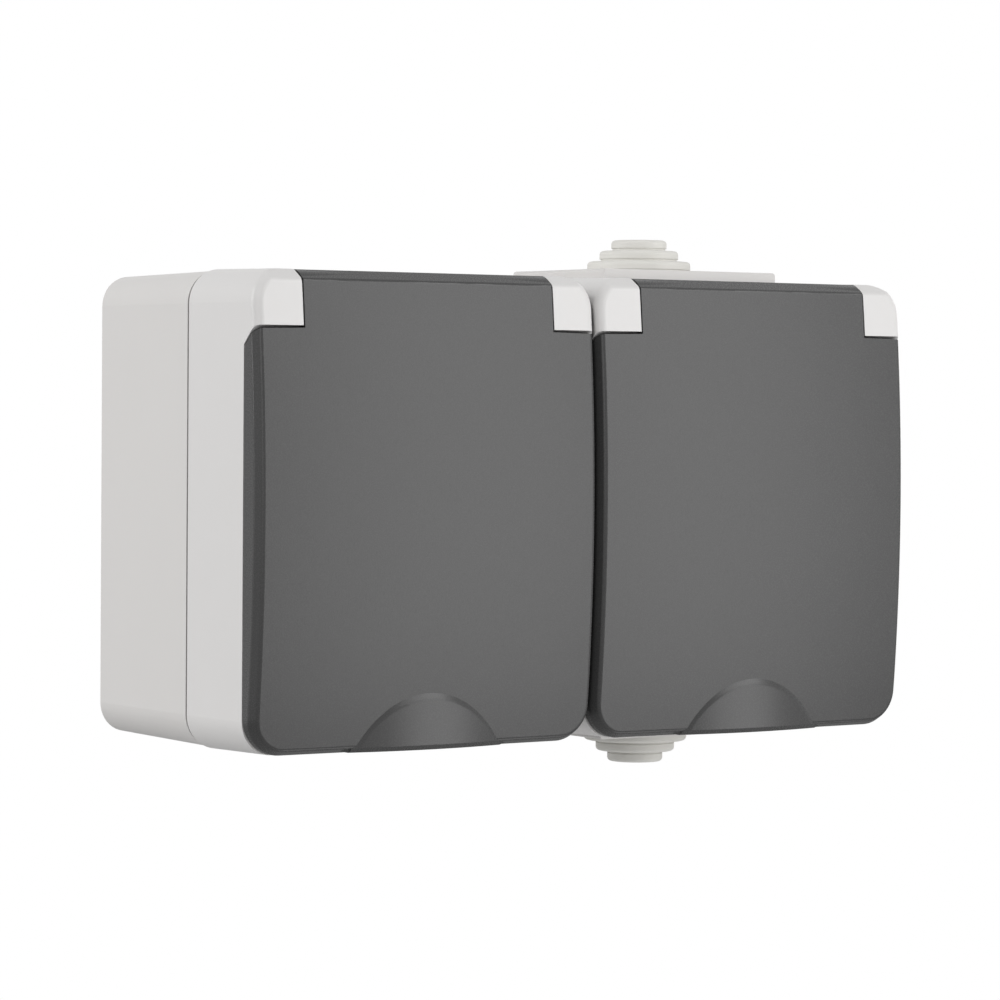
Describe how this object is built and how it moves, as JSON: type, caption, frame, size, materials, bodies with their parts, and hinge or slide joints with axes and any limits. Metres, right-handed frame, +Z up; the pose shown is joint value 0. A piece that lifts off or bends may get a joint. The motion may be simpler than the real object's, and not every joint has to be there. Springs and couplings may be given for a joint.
{
  "type": "weatherproof wall socket",
  "caption": "Surface-mounted weatherproof socket box with stepped cable grommets, side-by-side covers and spring-closed flip lids over recessed socket wells.",
  "frame": {"origin": "centre of the back face, on the wall", "axes": "+X along the width to the right as seen from the front, +Y into the wall, +Z up"},
  "size_m": [0.1464, 0.0575, 0.1026],
  "materials": {
    "housing_plastic": "fine matt",
    "lid_plastic": "fine matt",
    "grommet_rubber": "smooth",
    "seal_rubber": "smooth",
    "insert_plastic": "satin",
    "carrier_plastic": "satin",
    "steel": "plain",
    "brass": "plain"
  },
  "bodies": {
    "housing": {"rear_box": "housing_plastic", "cable_grommet_top": "grommet_rubber", "cable_grommet_bottom": "grommet_rubber", "left_front_cover": "housing_plastic", "left_cover_seal": "seal_rubber", "left_cover_screws": "steel", "left_hinge_pin": "steel", "left_lid_spring": "steel", "left_socket_insert": "insert_plastic", "left_contact_carrier": "carrier_plastic", "left_earth_bracket": "steel", "left_line_contact": "brass", "left_neutral_contact": "brass", "left_terminal_screws": "steel", "left_centre_screw": "steel", "right_front_cover": "housing_plastic", "right_cover_seal": "seal_rubber", "right_cover_screws": "steel", "right_hinge_pin": "steel", "right_lid_spring": "steel", "right_socket_insert": "insert_plastic", "right_contact_carrier": "carrier_plastic", "right_earth_bracket": "steel", "right_line_contact": "brass", "right_neutral_contact": "brass", "right_terminal_screws": "steel", "right_centre_screw": "steel"},
    "left_lid": {"left_lid": "lid_plastic", "left_lid_seal": "seal_rubber"},
    "right_lid": {"right_lid": "lid_plastic", "right_lid_seal": "seal_rubber"}
  },
  "joints": [
    {"name": "left_lid_hinge", "type": "hinge", "parent": "housing", "child": "left_lid", "pos_m": [-0.03662, -0.0517, 0.039], "axis": [-1, 0, 0], "range_deg": [0, 110], "stiffness_Nm_per_rad": 0.03, "springref_deg": -34.38, "deforming": ["left_lid_spring"]},
    {"name": "right_lid_hinge", "type": "hinge", "parent": "housing", "child": "right_lid", "pos_m": [0.03662, -0.0517, 0.039], "axis": [-1, 0, 0], "range_deg": [0, 110], "stiffness_Nm_per_rad": 0.03, "springref_deg": -34.38, "deforming": ["right_lid_spring"]}
  ]
}
